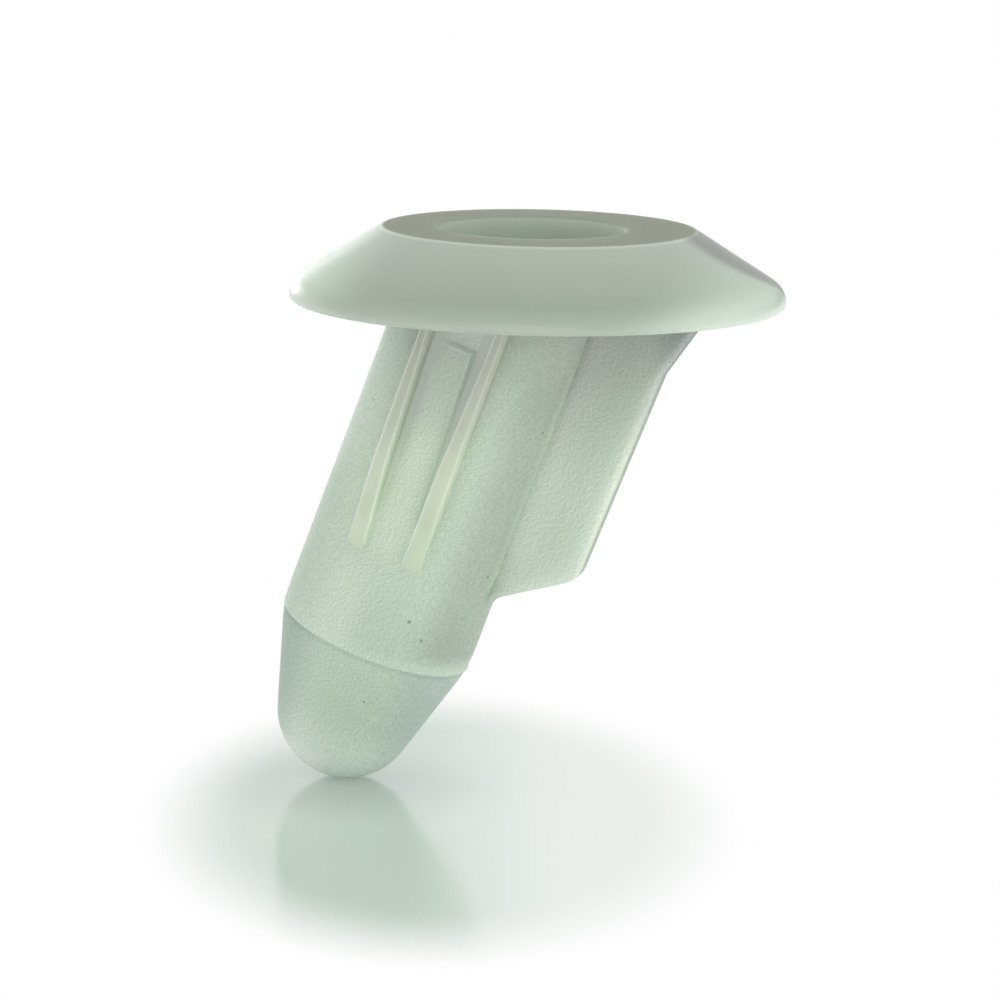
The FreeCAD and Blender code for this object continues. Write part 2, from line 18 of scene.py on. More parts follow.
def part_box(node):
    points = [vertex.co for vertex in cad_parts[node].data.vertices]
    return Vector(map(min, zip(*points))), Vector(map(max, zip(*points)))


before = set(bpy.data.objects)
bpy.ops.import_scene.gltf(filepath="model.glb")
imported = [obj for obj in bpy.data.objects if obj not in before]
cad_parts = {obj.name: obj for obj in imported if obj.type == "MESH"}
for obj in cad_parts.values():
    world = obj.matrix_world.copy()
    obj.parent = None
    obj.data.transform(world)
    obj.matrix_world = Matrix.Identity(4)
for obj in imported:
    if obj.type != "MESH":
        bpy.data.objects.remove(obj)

LOG = logging.getLogger("grommet")
MM = 0.001

Colour = tuple[float, float, float, float]
Point = tuple[float, float, float]

WHITE: Colour = (1.0, 1.0, 1.0, 1.0)
BLACK: Colour = (0.0, 0.0, 0.0, 1.0)


class Maths(Enum):
    """Operations of a maths node, and of a vector maths node."""

    ADD = "ADD"
    SUBTRACT = "SUBTRACT"
    MULTIPLY = "MULTIPLY"
    DIVIDE = "DIVIDE"
    POWER = "POWER"
    ABSOLUTE = "ABSOLUTE"
    MAXIMUM = "MAXIMUM"
    DISTANCE = "DISTANCE"
    SCALE = "SCALE"


class Blend(Enum):
    """Ways to mix two colours."""

    MIX = "MIX"
    MULTIPLY = "MULTIPLY"


def millimetres(value: float) -> float:
    """Turns millimetres into the scene's metres."""
    return value * MM


class Socket:
    """A shader output that reads like a number in a formula."""

    def __init__(self, graph: "Graph", source: bpy.types.NodeSocket) -> None:
        """Wraps an output socket of a graph, which makes the maths nodes."""
        self.graph = graph
        self.source = source

    def _maths(self, operation: Maths, first: "Socket | float",
               second: "Socket | float | None" = None) -> "Socket":
        """Adds a maths node on one or two values and gives its result."""
        values = {0: first} if second is None else {0: first, 1: second}
        return self.graph.node("ShaderNodeMath", {"operation": operation.value}, values)

    def __add__(self, other: "Socket | float") -> "Socket":
        """Sum."""
        return self._maths(Maths.ADD, self, other)

    def __radd__(self, other: float) -> "Socket":
        """Sum, with the number first."""
        return self._maths(Maths.ADD, other, self)

    def __sub__(self, other: "Socket | float") -> "Socket":
        """Difference."""
        return self._maths(Maths.SUBTRACT, self, other)

    def __rsub__(self, other: float) -> "Socket":
        """Difference, with the number first."""
        return self._maths(Maths.SUBTRACT, other, self)

    def __mul__(self, other: "Socket | float") -> "Socket":
        """Product."""
        return self._maths(Maths.MULTIPLY, self, other)

    def __rmul__(self, other: float) -> "Socket":
        """Product, with the number first."""
        return self._maths(Maths.MULTIPLY, other, self)

    def __truediv__(self, other: "Socket | float") -> "Socket":
        """Quotient."""
        return self._maths(Maths.DIVIDE, self, other)

    def __rtruediv__(self, other: float) -> "Socket":
        """Quotient, with the number first."""
        return self._maths(Maths.DIVIDE, other, self)

    def __pow__(self, other: "Socket | float") -> "Socket":
        """Power."""
        return self._maths(Maths.POWER, self, other)

    def __neg__(self) -> "Socket":
        """Opposite."""
        return self._maths(Maths.MULTIPLY, self, -1.0)

    def __abs__(self) -> "Socket":
        """Absolute value."""
        return self._maths(Maths.ABSOLUTE, self)

    def most(self, other: "Socket | float") -> "Socket":
        """Larger of the two."""
        return self._maths(Maths.MAXIMUM, self, other)

    def ramp(self, low: float, high: float, start: float = 0.0, end: float = 1.0) -> "Socket":
        """Eases from one value to another.

        Args:
            low: The input at which the result is start.
            high: The input at which the result is end.
            start: The first result.
            end: The last result.

        Returns:
            The eased value.
        """
        settings = {"interpolation_type": "SMOOTHSTEP", "clamp": True}
        values = {"Value": self, "From Min": low, "From Max": high, "To Min": start, "To Max": end}
        return self.graph.node("ShaderNodeMapRange", settings, values)

    def fall(self, low: float, high: float) -> "Socket":
        """Eases from 1 at the low input to 0 at the high one."""
        return self.ramp(low, high, 1.0, 0.0)


class Graph:
    """The node tree of a material or the world, with one way to add a node."""

    # Numbers of the Mix node's sockets that carry colours
    FIRST_COLOUR = 6
    SECOND_COLOUR = 7
    MIXED_COLOUR = 2

    def __init__(self, owner: bpy.types.Material | bpy.types.World) -> None:
        """Empties a material's or a world's tree.

        Args:
            owner: The material or the world.
        """
        owner.use_nodes = True
        self.owner = owner
        self.tree = owner.node_tree
        self.tree.nodes.clear()

    @classmethod
    def of_material(cls, name: str) -> "Graph":
        """Starts a new material of that name."""
        return cls(bpy.data.materials.new(name))

    def add(self, kind: str, settings: dict | None = None,
            inputs: dict | None = None) -> bpy.types.Node:
        """Adds a node.

        Args:
            kind: The node's type.
            settings: Its settings by name, which are set first.
            inputs: Its inputs by name or number: a Socket to link, or a number or colour to set.

        Returns:
            The node.
        """
        made = self.tree.nodes.new(kind)
        for key, value in (settings or {}).items():
            setattr(made, key, value)
        for key, value in (inputs or {}).items():
            if isinstance(value, Socket):
                self.tree.links.new(value.source, made.inputs[key])
            else:
                made.inputs[key].default_value = value
        return made

    def node(self, kind: str, settings: dict | None = None, inputs: dict | None = None,
             output: int | str = 0) -> Socket:
        """Adds a node and hands back one of its outputs, by name or number."""
        return Socket(self, self.add(kind, settings, inputs).outputs[output])

    def point(self) -> Socket:
        """The shaded point in object coordinates, in metres, which are the part's own frame."""
        return self.node("ShaderNodeTexCoord", output="Object")

    def coordinates(self, vector: Socket) -> tuple[Socket, Socket, Socket]:
        """Splits a vector into its X, Y and Z."""
        made = self.add("ShaderNodeSeparateXYZ", inputs={0: vector})
        return tuple(Socket(self, output) for output in made.outputs)

    def vector(self, operation: Maths, first: Socket, second: Point) -> Socket:
        """Adds a vector maths node.

        Args:
            operation: ADD, which gives a vector, or DISTANCE, which gives a number.
            first: A vector socket.
            second: A constant vector.

        Returns:
            The node's result.
        """
        output = "Value" if operation is Maths.DISTANCE else "Vector"
        settings = {"operation": operation.value}
        return self.node("ShaderNodeVectorMath", settings, {0: first, 1: second}, output)

    def scaled(self, vector: Socket, factor: Socket) -> Socket:
        """Multiplies a vector or a colour by a number."""
        settings = {"operation": Maths.SCALE.value}
        return self.node("ShaderNodeVectorMath", settings, {0: vector, "Scale": factor}, "Vector")

    def mixed(self, blend: Blend, factor: Socket, first: Socket | Colour,
              second: Socket | Colour) -> Socket:
        """Mixes two colours.

        Args:
            blend: The way they mix.
            factor: How much of the second, 0 to 1.
            first: A colour socket or constant.
            second: A colour socket or constant.

        Returns:
            The mixed colour.
        """
        settings = {"data_type": "RGBA", "blend_type": blend.value}
        inputs = {0: factor, self.FIRST_COLOUR: first, self.SECOND_COLOUR: second}
        return self.node("ShaderNodeMix", settings, inputs, self.MIXED_COLOUR)

    def tinted(self, colour: Socket | Colour, factor: Socket, tint: Colour) -> Socket:
        """Multiplies a colour by a tint, as far as a factor from 0 to 1 says."""
        return self.mixed(Blend.MULTIPLY, factor, colour, tint)

    def blended(self, factor: Socket, first: Socket, second: Socket) -> Socket:
        """Mixes two shaders, with the second as far as a factor from 0 to 1 says."""
        return self.node("ShaderNodeMixShader", inputs={0: factor, 1: first, 2: second})

    def finish(self, surface: Socket) -> bpy.types.Material | bpy.types.World:
        """Ends the tree with its output.

        Args:
            surface: The surface shader.

        Returns:
            The finished material or world.
        """
        in_world = isinstance(self.owner, bpy.types.World)
        kind = "ShaderNodeOutputWorld" if in_world else "ShaderNodeOutputMaterial"
        self.add(kind, inputs={"Surface": surface})
        return self.owner


@dataclass(frozen=True)
class GrommetShape:
    """Sizes of the moulding that its finish follows, in millimetres and degrees.

    Attributes:
        lean: The shank's axis from the head's.
        cross_height: Where the two axes cross, above the seat.
        tube_radius: Outside of the shank.
        head_height: Seat to top face.
        top_radius: Top face.
        catch_gap: Seat to the catch's upper end, along the shank.
        catch_end_half: Half of the catch's width there.
        catch_foot: Seat to the catch's foot.
        catch_foot_half: Half of the catch's width there.
        channel_end: Each channel's width at the catch's upper end.
        channel_foot: Each channel's width at its foot.
        rib_reach: Shank's middle to a rib's outer side.
        fin_half: Half of the fin's thickness.
        fin_reach: Shank's axis to the fin's outer edge.
        ring_distance: Seat to the parting line.
        shank_length: Seat to the tip.
    """

    lean: float = 20.0
    cross_height: float = 4.0
    tube_radius: float = 4.05
    head_height: float = 3.0
    top_radius: float = 6.35
    catch_gap: float = 1.5
    catch_end_half: float = 0.61
    catch_foot: float = 10.6
    catch_foot_half: float = 0.83
    channel_end: float = 0.7
    channel_foot: float = 0.06
    rib_reach: float = 1.63
    fin_half: float = 0.6
    fin_reach: float = 7.2
    ring_distance: float = 15.0
    shank_length: float = 21.4

    def catch_length(self) -> float:
        """Length of the catch along the shank."""
        return self.catch_foot - self.catch_gap


class Places:
    """Where the shaded point is on the grommet, as distances and as masks of 0 to 1.

    Distances are in millimetres. The part's own axes are x, y and z, with the
    seat at height zero. The leaning shank's are out, towards the fin, and up,
    towards the head, and its middle is at out zero. The limits that a mask
    gives to its ramps are places along one of these.
    """

    def __init__(self, graph: Graph, shape: GrommetShape) -> None:
        """Turns the object coordinates into the shank's own.

        Args:
            graph: The material's graph.
            shape: The moulding's sizes.
        """
        self.shape = shape
        x, y, z = graph.coordinates(graph.point())
        self.x, self.y, self.z = x / MM, y / MM, z / MM
        lean = math.radians(shape.lean)
        east = self.x + shape.cross_height * math.tan(lean)
        self.out = east * math.cos(lean) - self.z * math.sin(lean)
        self.up = east * math.sin(lean) + self.z * math.cos(lean)
        self.reach = (self.x * self.x + self.y * self.y) ** 0.5
        self.radius = (self.out * self.out + self.y * self.y) ** 0.5

    def above_ring(self) -> Socket:
        """Distance above the parting line, along the shank."""
        return self.up + self.shape.ring_distance

    def above_tip(self) -> Socket:
        """Distance above the shank's tip, along the shank."""
        return self.up + self.shape.shank_length

    def above_foot(self) -> Socket:
        """Distance above the foot of the catch and the channels, along the shank."""
        return self.up + self.shape.catch_foot

    def beside_catch(self) -> Socket:
        """Distance outside the catch's edge, which widens towards its foot.

        Returns:
            The distance, below zero on the catch.
        """
        shape = self.shape
        slope = (shape.catch_foot_half - shape.catch_end_half) / shape.catch_length()
        half = -self.up * slope + (shape.catch_end_half - slope * shape.catch_gap)
        return abs(self.out) - half

    def head(self) -> Socket:
        """Mask of the head."""
        return self.z.ramp(-0.04, 0.02)

    def below_seat(self) -> Socket:
        """Mask of all that is below the head."""
        return 1.0 - self.head()

    def top_face_shade(self) -> Socket:
        """Mask of the painted shade on the head's top face."""
        level = self.z.ramp(self.shape.head_height - 0.12, self.shape.head_height - 0.02)
        return level * self.reach.fall(self.shape.top_radius - 0.1, self.shape.top_radius)

    def top_edge_highlight(self) -> Socket:
        """Mask of the painted highlight on the fine round between the top face and the cone."""
        return abs(self.reach - self.shape.top_radius).fall(0.06, 0.16) * self.head()

    def cone(self) -> Socket:
        """Mask of the head's cone and rim."""
        return self.head() * self.reach.ramp(self.shape.top_radius - 0.1, self.shape.top_radius)

    def cone_top_light(self) -> Socket:
        """Mask of the painted light on the cone's upper half."""
        return self.cone() * self.z.ramp(1.2, 2.9)

    def cone_left_highlight(self) -> Socket:
        """Mask of the painted highlight on the cone's end on the nose's side, above the rim."""
        return self.cone() * self.x.fall(-8.0, -4.0) * self.z.ramp(0.4, 1.2)

    def cone_left_edge_highlight(self) -> Socket:
        """Mask of the stronger painted highlight where that end turns away."""
        return self.cone_left_highlight() * self.y.ramp(-2.8, -0.4)

    def cone_right_light(self) -> Socket:
        """Mask of the painted light on the cone's end on the fin's side."""
        return self.cone() * self.x.ramp(6.0, 9.5)

    def cone_dark_shade(self) -> Socket:
        """Mask of the painted shade on the part of the cone that turns away behind the fin's side.

        Returns:
            The mask, whose border bends back towards the cone's end.
        """
        bend_start, bend, border_start = 7.0, 0.36, -1.5
        past_bend = (self.x - bend_start).most(0.0)
        behind = self.y - (past_bend * past_bend * bend + border_start)
        return self.cone() * behind.ramp(-0.1, 1.3) * behind.fall(2.6, 6.0) * self.x.ramp(5.0, 6.2)

    def rim_front_shade(self) -> Socket:
        """Mask of the painted shade on the rim's front and back, away from its ends."""
        return self.cone() * self.z.fall(0.3, 1.8) * abs(self.x).fall(5.0, 9.0)

    def under_seat(self) -> Socket:
        """Mask of the shade that the head throws on what is just below it."""
        return self.z.ramp(-6.5, -0.4) * self.below_seat()

    def under_left_light(self) -> Socket:
        """Mask of the painted light that eases the head's shade on the shank's top, on the side
        that faces away from the fin.
        """
        return self.under_seat() * self.out.fall(-3.2, -1.8)

    def left_side_shade(self) -> Socket:
        """Mask of the painted shade on the shank's side that faces away from the fin, below the
        head's shade.
        """
        return self.out.fall(-3.4, -1.8) * self.up.fall(-9.5, -6.5)

    def catch(self) -> Socket:
        """Mask of the catch.

        Returns:
            The mask, which fades at the catch's foot and towards its upper end.
        """
        within = self.beside_catch().fall(-0.04, 0.0)
        above_foot = self.above_foot().ramp(-0.9, 0.6)
        return within * above_foot * self.up.fall(-6.5, -4.0) * self.below_seat()

    def front_and_back(self) -> Socket:
        """Mask of the shank's front and back, without its flanks."""
        return abs(self.y).ramp(2.0, 2.4)

    def comb(self) -> Socket:
        """Mask of the smooth ribs and channels, without the catch between them.

        Returns:
            The mask, which ends just outside the ribs and below their feet.
        """
        shape = self.shape
        beyond_catch = self.beside_catch().ramp(0.0, 0.03)
        within_ribs = abs(self.out).fall(shape.rib_reach + 0.01, shape.rib_reach + 0.05)
        above_foot = self.above_foot().ramp(-0.28, -0.22)
        return beyond_catch * within_ribs * above_foot * self.front_and_back() * self.below_seat()

    def upper_comb(self) -> Socket:
        """Mask of the ribs and channels in the head's shade."""
        return self.comb() * self.z.ramp(-7.5, -4.0)

    def channel(self) -> Socket:
        """Mask of the channels with their walls, and of the gap over the catch's upper end.

        Returns:
            The mask, whose width grows from the channels' feet.
        """
        shape = self.shape
        widening = (shape.channel_end - shape.channel_foot) / shape.catch_length()
        width = self.up * widening + (shape.channel_foot + widening * shape.catch_foot)
        beside = self.beside_catch().ramp(-0.03, -0.01)
        over = self.up.ramp(-shape.catch_gap - 0.06, -shape.catch_gap - 0.03)
        inside = (self.beside_catch() - width).fall(0.01, 0.03)
        above_foot = self.above_foot().ramp(-0.02, 0.0)
        return beside.most(over) * inside * above_foot * self.front_and_back() * self.below_seat()

    def channel_light(self) -> Socket:
        """How much of the light from inside each part of the channels shows.

        Returns:
            The share of the light: most on the floor, some on the catch's walls and
            at the foot, and little on the ribs' walls.
        """
        tube_radius, wall_share = self.shape.tube_radius, 0.15
        floor = self.radius.ramp(tube_radius - 0.27, tube_radius - 0.17, 1.0, wall_share)
        catch_wall = self.beside_catch().ramp(0.02, 0.06, 0.45, wall_share)
        foot = self.above_foot().ramp(1.1, 2.6, 0.6, wall_share)
        return self.channel() * floor.most(catch_wall).most(foot)

    def upper_rib_shade(self) -> Socket:
        """Mask of the painted shade on the ribs' crests above their feet."""
        crest = abs(self.out).fall(self.shape.rib_reach - 0.03, self.shape.rib_reach)
        return self.comb() * (1.0 - self.channel()) * crest * self.above_foot().ramp(0.1, 2.1)

    def fin(self) -> Socket:
        """Mask of the fin."""
        beyond_tube = self.out.ramp(self.shape.tube_radius - 0.06, self.shape.tube_radius - 0.02)
        return beyond_tube * self.up.ramp(-11.3, -10.8) * self.below_seat()

    def fin_edge_shade(self) -> Socket:
        """Mask of the painted shade on the narrow outer face of the fin, growing towards its far
        side.
        """
        inside = abs(self.y).fall(self.shape.fin_half - 0.1, self.shape.fin_half - 0.03)
        return self.fin() * inside * self.y.ramp(-0.5, 0.1)

    def fin_corner_highlight(self) -> Socket:
        """Mask of the painted highlight on the fin's lower faces close to its outer edge."""
        near = self.out.ramp(self.shape.fin_reach - 0.3, self.shape.fin_reach - 0.1)
        return near * self.fin() * (1.0 - self.fin_edge_shade()) * self.z.fall(-6.0, -4.0)

    def fin_middle(self) -> Socket:
        """Mask of the fin between the flare and its lower half."""
        return self.fin() * self.z.ramp(-8.0, -5.0) * self.z.fall(-3.0, -1.0)

    def fin_root_light(self) -> Socket:
        """Mask of the painted light in the corner between the shank and the fin.

        Returns:
            The mask, which fades out along the fin and towards the fin's lower end.
        """
        tube = self.shape.tube_radius
        corner = self.out.ramp(tube - 0.09, tube - 0.03) * self.out.fall(tube + 0.05, tube + 1.75)
        return corner * self.below_seat() * self.above_foot().ramp(0.1, 1.6)

    def fin_side_shade(self) -> Socket:
        """Mask of the painted shade on the shank's flanks next to the fin.

        Returns:
            The mask, which fades towards the seat and ends over the parting line.
        """
        tube = self.shape.tube_radius
        below_fin = self.above_foot().fall(-0.9, 0.1)
        band = self.out.ramp(1.9, 3.5) * self.out.fall(tube - 0.21, tube - 0.05).most(below_fin)
        towards_seat = self.z.ramp(-4.0, -1.2, 1.0, 0.2)
        return band * towards_seat * self.above_ring().ramp(0.1, 1.0) * self.below_seat()

    def flare(self) -> Socket:
        """Mask of the painted shade on the fin's outer end under the seat."""
        return self.fin() * self.z.ramp(-3.4, -1.2) * self.out.ramp(6.3, 7.5)

    def lower_shank(self) -> Socket:
        """Mask of the shank over the parting line, on the fin's side."""
        height = self.above_ring()
        return height.ramp(0.2, 0.5) * height.fall(0.6, 3.6) * self.out.ramp(-1.0, 1.2)

    def lower_left_light(self) -> Socket:
        """Mask of the painted light on the shank under the rib on the side away from the fin.

        Returns:
            The mask, which starts at the parting line.
        """
        height = self.above_ring()
        span = self.out.ramp(-2.2, -1.2) * self.out.fall(-0.8, 0.4)
        return span * height.ramp(0.0, 0.1) * height.fall(2.4, 4.4)

    def ring_shade(self) -> Socket:
        """Mask of the fine shade under the parting line."""
        return self.above_ring().ramp(-0.34, -0.1) * self.nose()

    def nose(self) -> Socket:
        """Mask of the nose, under the parting line."""
        return self.above_ring().fall(-0.06, -0.02)

    def nose_left_shade(self) -> Socket:
        """Mask of the painted shade on the nose's side that faces away from the fin."""
        return self.nose() * self.out.fall(-2.7, -0.7)

    def nose_right_shade(self) -> Socket:
        """Mask of the painted shade on the nose's side under the fin."""
        return self.nose() * self.out.ramp(1.7, 3.1)

    def nose_shine(self) -> Socket:
        """Mask of the ball end's front on the side that faces away from the fin."""
        low_left = self.above_tip().fall(0.9, 1.6) * self.out.fall(-0.1, 0.6)
        return low_left * self.y.fall(-0.8, 0.6)

    def tip(self) -> Socket:
        """Mask of the painted light that grows towards the nose's tip, away from its far side."""
        return self.above_tip().fall(0.2, 4.0) * self.out.ramp(-2.5, -1.0)


@dataclass(frozen=True)
class Tint:
    """A change of the nylon's colour at one place.

    Attributes:
        mask: The place, as one of the masks in Places.
        colour: What the colour there is multiplied by, linear.
    """

    mask: Callable[[Places], Socket]
    colour: Colour


@dataclass(frozen=True)
class Speck:
    """A dark inclusion under the surface.

    Attributes:
        place: Its middle, in millimetres.
        size: Its radius, in millimetres.
        core: The share of the radius that is fully dark.
        fade: The share of the radius at which the darkness has gone.
    """

    place: Point
    size: float
    core: float = 0.4
    fade: float = 1.3

    def mask(self, graph: Graph) -> Socket:
        """Marks the speck.

        Args:
            graph: The material's graph.

        Returns:
            The speck's mask.
        """
        centre = tuple(millimetres(value) for value in self.place)
        distance = graph.vector(Maths.DISTANCE, graph.point(), centre)
        return distance.fall(millimetres(self.size * self.core), millimetres(self.size * self.fade))


@dataclass(frozen=True)
class NylonFinish:
    """Milky natural nylon, lit from within, with a fine moulded grain on its lower part.

    Attributes:
        colour: Base colour of the shank, linear.
        tints: Changes of that colour, each laid over the ones before it; most are painted light and
            shade.
        channel_glow: Light that comes through the wall in the channels.
        scatter_radius: Mean free path per channel, in metres.
        index: Refractive index.
        gloss: Roughness of the polished cone and rim.
        gloss_level: Strength of their reflection.
        matt: Roughness of the other faces.
        matt_level: Strength of their reflection.
        grain_size: Size of a grain, in metres.
        grain_height: Height of the grain, in metres.
        grain_detail: Finer layers in the grain.
        grain_roughness: Strength of each finer layer.
        grain_shade: Strength of the painted shade and highlight on the grain, as if lit from the
            upper left.
        grain_step: How far to the side that shade is read, as a share of a grain.
        edge_round: Radius of the softened edges, in metres.
        edge_samples: Rays that find those edges.
        specks: Dark inclusions.
        speck_tint: What the colour in a speck is multiplied by.
    """

    colour: Colour = (0.56, 0.66, 0.55, 1.0)
    # Most of these tints are painted light and shade; the masks' names say which
    tints: tuple[Tint, ...] = (
        Tint(Places.head, (0.78, 0.76, 0.77, 1.0)),
        # painted shade on the head's top face
        Tint(Places.top_face_shade, (0.7, 0.71, 0.62, 1.0)),
        # painted light on the cone's upper half
        Tint(Places.cone_top_light, (1.14, 1.14, 1.14, 1.0)),
        # painted highlight on the cone's end on the nose's side
        Tint(Places.cone_left_highlight, (1.36, 1.4, 1.38, 1.0)),
        # stronger painted highlight where the cone's left end turns away
        Tint(Places.cone_left_edge_highlight, (1.35, 1.32, 1.35, 1.0)),
        # painted light on the cone's end on the fin's side
        Tint(Places.cone_right_light, (1.25, 1.27, 1.28, 1.0)),
        # painted shade on the cone behind the fin's side
        Tint(Places.cone_dark_shade, (0.5, 0.49, 0.49, 1.0)),
        # painted shade on the rim's front and back
        Tint(Places.rim_front_shade, (0.76, 0.75, 0.76, 1.0)),
        # painted highlight on the top face's edge
        Tint(Places.top_edge_highlight, (1.2, 1.2, 1.2, 1.0)),
        Tint(Places.comb, (1.07, 1.05, 0.95, 1.0)),
        Tint(Places.catch, (1.13, 1.12, 1.07, 1.0)),
        Tint(Places.fin, (0.94, 0.89, 0.94, 1.0)),
        # painted shade on the shank's flanks next to the fin
        Tint(Places.fin_side_shade, (0.77, 0.755, 0.76, 1.0)),
        Tint(Places.under_seat, (0.77, 0.73, 0.77, 1.0)),
        Tint(Places.upper_comb, (0.85, 0.82, 0.88, 1.0)),
        # painted shade on the ribs' crests towards the head
        Tint(Places.upper_rib_shade, (0.82, 0.8, 0.82, 1.0)),
        Tint(Places.fin_middle, (0.92, 0.92, 0.92, 1.0)),
        # painted light in the corner between the shank and the fin
        Tint(Places.fin_root_light, (1.13, 1.09, 1.12, 1.0)),
        Tint(Places.nose, (0.93, 0.93, 0.95, 1.0)),
        # painted shade on the shank's side away from the fin
        Tint(Places.left_side_shade, (0.88, 0.91, 0.9, 1.0)),
        # painted light towards the nose's tip
        Tint(Places.tip, (1.36, 1.3, 1.34, 1.0)),
        Tint(Places.lower_shank, (0.94, 0.93, 0.96, 1.0)),
        # painted light on the shank's lower part away from the fin
        Tint(Places.lower_left_light, (1.1, 1.08, 1.09, 1.0)),
        Tint(Places.ring_shade, (0.88, 0.88, 0.88, 1.0)),
        # painted light easing the head's shade on the shank's left top
        Tint(Places.under_left_light, (1.15, 1.18, 1.18, 1.0)),
        # painted shade on the fin's outer end under the seat
        Tint(Places.flare, (0.7, 0.7, 0.74, 1.0)),
        # painted shade on the nose's side away from the fin
        Tint(Places.nose_left_shade, (0.76, 0.78, 0.8, 1.0)),
        # painted shade on the nose's side under the fin
        Tint(Places.nose_right_shade, (0.9, 0.89, 0.94, 1.0)),
        Tint(Places.nose_shine, (1.25, 1.2, 1.17, 1.0)),
        # painted shade on the fin's outer edge face
        Tint(Places.fin_edge_shade, (0.5, 0.54, 0.5, 1.0)),
        # painted highlight along the fin's lower outer edge
        Tint(Places.fin_corner_highlight, (1.12, 1.1, 1.02, 1.0)),
    )
    channel_glow: Colour = (0.2, 0.21, 0.21, 1.0)
    scatter_radius: Point = (0.0028, 0.003, 0.0027)
    index: float = 1.5
    gloss: float = 0.3
    gloss_level: float = 0.5
    matt: float = 0.5
    matt_level: float = 0.12
    grain_size: float = millimetres(0.11)
    grain_height: float = millimetres(0.02)
    grain_detail: float = 3.0
    grain_roughness: float = 0.55
    grain_shade: float = 0.6
    grain_step: float = 0.35
    edge_round: float = millimetres(0.06)
    edge_samples: int = 4
    specks: tuple[Speck, ...] = (
        Speck((-5.94, -2.87, -3.97), 0.06),
        Speck((-4.53, -3.92, -5.23), 0.07),
        Speck((-4.09, -3.57, -12.81), 0.09),
        Speck((-3.70, -3.14, -13.64), 0.08),
        Speck((-6.05, -3.23, -16.34), 0.06),
        Speck((-1.46, -1.35, -11.17), 0.07),
        Speck((0.73, -1.39, -5.11), 0.07),
    )
    speck_tint: Colour = (0.5, 0.52, 0.5, 1.0)

    def grain(self, graph: Graph, shift: float) -> Socket:
        """Adds the grain's noise, read a little to one side.

        Args:
            graph: The material's graph.
            shift: How far up and to the left it is read, in metres.

        Returns:
            The noise, about 0.5.
        """
        moved = graph.vector(Maths.ADD, graph.point(), (-shift, 0.0, shift))
        return graph.node("ShaderNodeTexNoise", {"noise_dimensions": "3D"}, {
            "Vector": moved,
            "Scale": 1.0 / self.grain_size,
            "Detail": self.grain_detail,
            "Roughness": self.grain_roughness,
        })

    def painted(self, graph: Graph, places: Places) -> Socket:
        """Lays the tints and the specks over the base colour, in order.

        Args:
            graph: The material's graph.
            places: Where the shaded point is.

        Returns:
            The colour without its grain.
        """
        colour = self.colour
        for tint in self.tints:
            colour = graph.tinted(colour, tint.mask(places), tint.colour)
        dots = reduce(Socket.most, (speck.mask(graph) for speck in self.specks))
        return graph.tinted(colour, dots, self.speck_tint)

    def surface(self, graph: Graph, shared: dict, roughness: float, level: float) -> Socket:
        """Adds one of the nylon's two shaders, which differ only in their polish.

        Args:
            graph: The material's graph.
            shared: The inputs that both have.
            roughness: Blur of the reflection.
            level: Strength of the reflection.

        Returns:
            The shader.
        """
        inputs = shared | {"Roughness": roughness, "Specular IOR Level": level}
        settings = {"subsurface_method": "RANDOM_WALK"}
        return graph.node("ShaderNodeBsdfPrincipled", settings, inputs, "BSDF")

    def material(self, shape: GrommetShape) -> bpy.types.Material:
        """Builds the material.

        Args:
            shape: The moulding's sizes.

        Returns:
            The nylon material.
        """
        graph = Graph.of_material("milky_nylon")
        places = Places(graph, shape)
        grained = places.below_seat() * (1.0 - places.comb())
        grain = self.grain(graph, 0.0)
        # Painted shade and highlight on the grain, as if lit from the upper left: the noise read up
        # and to the left, less the noise here
        slope = self.grain(graph, self.grain_size * self.grain_step) - grain
        shade = slope * self.grain_shade * grained + 1.0
        softened = graph.node("ShaderNodeBevel", {"samples": self.edge_samples},
                              {"Radius": self.edge_round})
        bump = graph.node("ShaderNodeBump", inputs={
            "Strength": 1.0,
            "Distance": self.grain_height,
            "Height": grain * grained,
            "Normal": softened,
        }, output="Normal")
        shared = {
            "Base Color": graph.scaled(self.painted(graph, places), shade),
            "IOR": self.index,
            "Emission Color": graph.mixed(
                Blend.MIX, places.channel_light(), BLACK, self.channel_glow),
            "Emission Strength": 1.0,
            "Subsurface Weight": 1.0,
            "Subsurface Radius": self.scatter_radius,
            "Subsurface Scale": 1.0,
            "Normal": bump,
        }
        plain = self.surface(graph, shared, self.matt, self.matt_level)
        polished = self.surface(graph, shared, self.gloss, self.gloss_level)
        return graph.finish(graph.blended(places.cone(), plain, polished))


@dataclass
class Grommet:
    """The moulding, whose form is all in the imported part.

    Attributes:
        shape: Its sizes.
        finish: Its nylon.
    """

    shape: GrommetShape = GrommetShape()
    finish: NylonFinish = NylonFinish()

    def dress(self, node: bpy.types.Object) -> None:
        """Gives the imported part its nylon.

        Args:
            node: The part's mesh.
        """
        material = self.finish.material(self.shape)
        for slot in node.material_slots:
            slot.material = material
        if not node.material_slots:
            node.data.materials.append(material)


